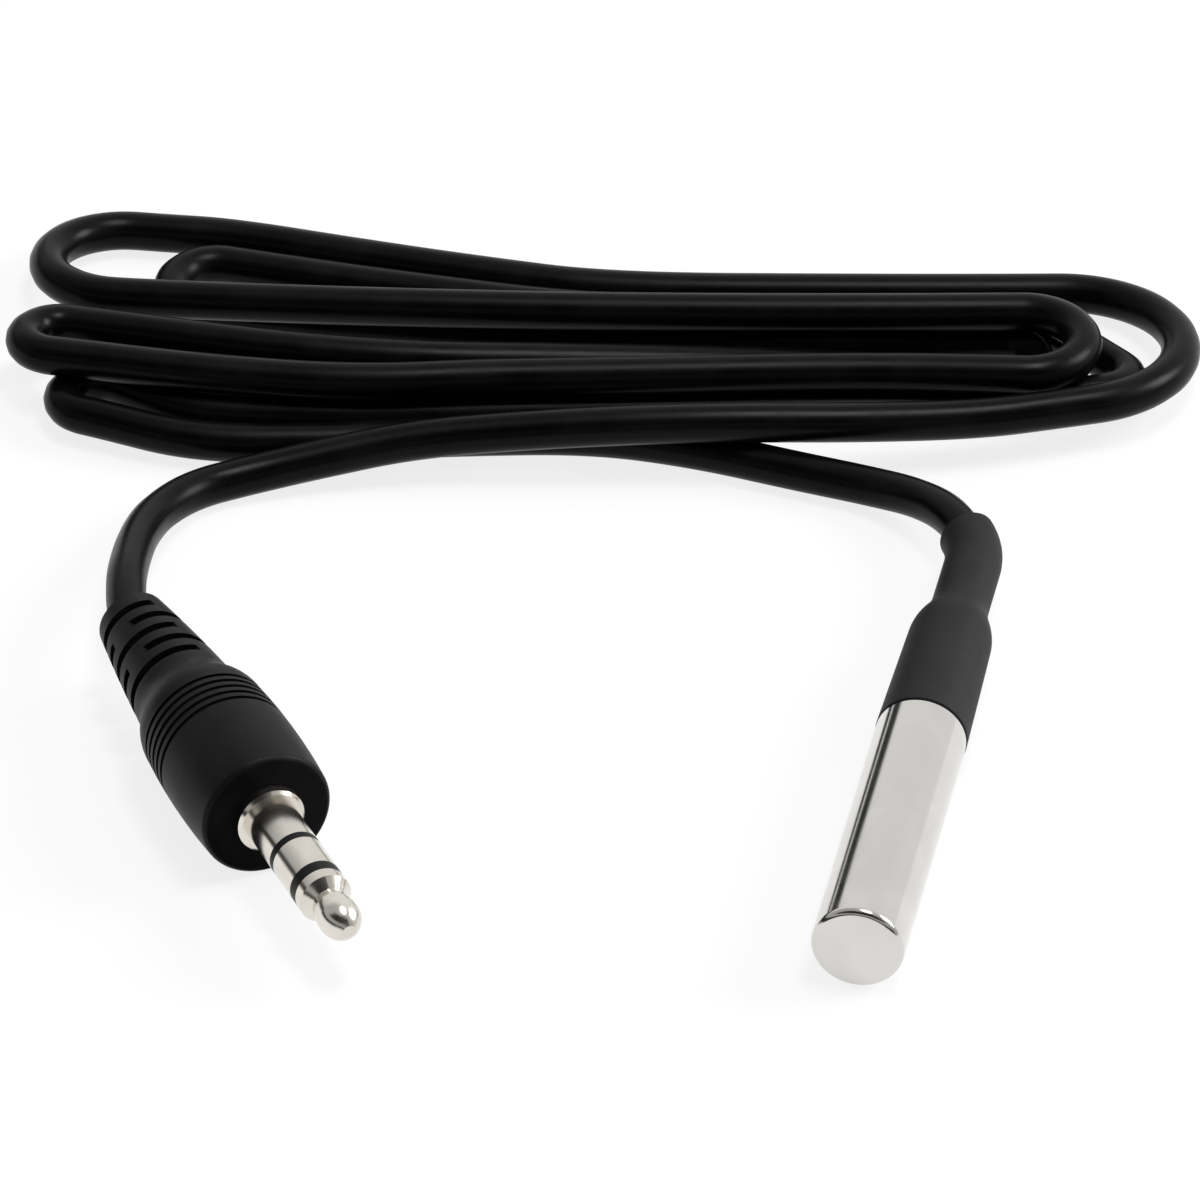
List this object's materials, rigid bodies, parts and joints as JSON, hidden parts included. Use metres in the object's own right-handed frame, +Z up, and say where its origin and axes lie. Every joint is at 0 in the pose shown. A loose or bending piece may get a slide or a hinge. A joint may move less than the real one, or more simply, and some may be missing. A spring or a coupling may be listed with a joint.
{
  "type": "temperature probe",
  "caption": "Closed round metal sensor sheath on a thin black cable wound in a flat hank, ending in a moulded three-pole phone plug with a slotted strain relief.",
  "frame": {"origin": "under the middle of the probe head, sheath and heat-shrink sleeve together, on the surface that it lies on", "axes": "+Z up, +Y along the sheath from its closed tip towards the cable, +X to the right seen from the tip"},
  "size_m": [0.0828, 0.0879, 0.0092],
  "materials": {
    "stainless": "polished stainless steel",
    "heat_shrink": "matt heat-shrink polyolefin",
    "cable_jacket": "smooth glossy PVC",
    "plug_plastic": "satin moulded PVC",
    "nickel_plate": "polished nickel plate",
    "insulator_plastic": "satin black",
    "inner_mould_plastic": "milky moulded polyethylene",
    "brass_lug": "stamped, plain",
    "tinned_copper": "dull tin",
    "solder": "bright solder",
    "sensor_epoxy": "matt moulding compound",
    "potting_resin": "cast resin",
    "joint_sleeve": "thin heat-shrink",
    "core_black": "PVC insulation",
    "core_yellow": "PVC insulation",
    "core_red": "PVC insulation"
  },
  "bodies": {
    "root": {"probe_sheath": "stainless", "sensor_package": "sensor_epoxy", "sensor_lead_ground": "tinned_copper", "sensor_lead_data": "tinned_copper", "sensor_lead_supply": "tinned_copper", "probe_core_ground": "core_black", "probe_core_data": "core_yellow", "probe_core_supply": "core_red", "probe_joint_sleeve_ground": "joint_sleeve", "probe_joint_sleeve_data": "joint_sleeve", "probe_joint_sleeve_supply": "joint_sleeve", "probe_solder_joints": "solder", "potting": "potting_resin", "heat_shrink_sleeve": "heat_shrink", "cable_probe_tail": "cable_jacket", "cable_hank": "cable_jacket", "cable_plug_tail": "cable_jacket", "plug_moulding": "plug_plastic", "plug_inner_mould": "inner_mould_plastic", "plug_sleeve_contact": "nickel_plate", "plug_ring_contact": "nickel_plate", "plug_tip_contact": "nickel_plate", "plug_front_insulator": "insulator_plastic", "plug_tip_insulator": "insulator_plastic", "plug_outer_washer": "insulator_plastic", "plug_inner_washer": "insulator_plastic", "plug_sleeve_lug": "brass_lug", "plug_ring_lug": "brass_lug", "plug_tip_lug": "brass_lug", "plug_core_ground": "core_black", "plug_core_data": "core_yellow", "plug_core_supply": "core_red", "plug_solder_joints": "solder"}
  },
  "joints": []
}
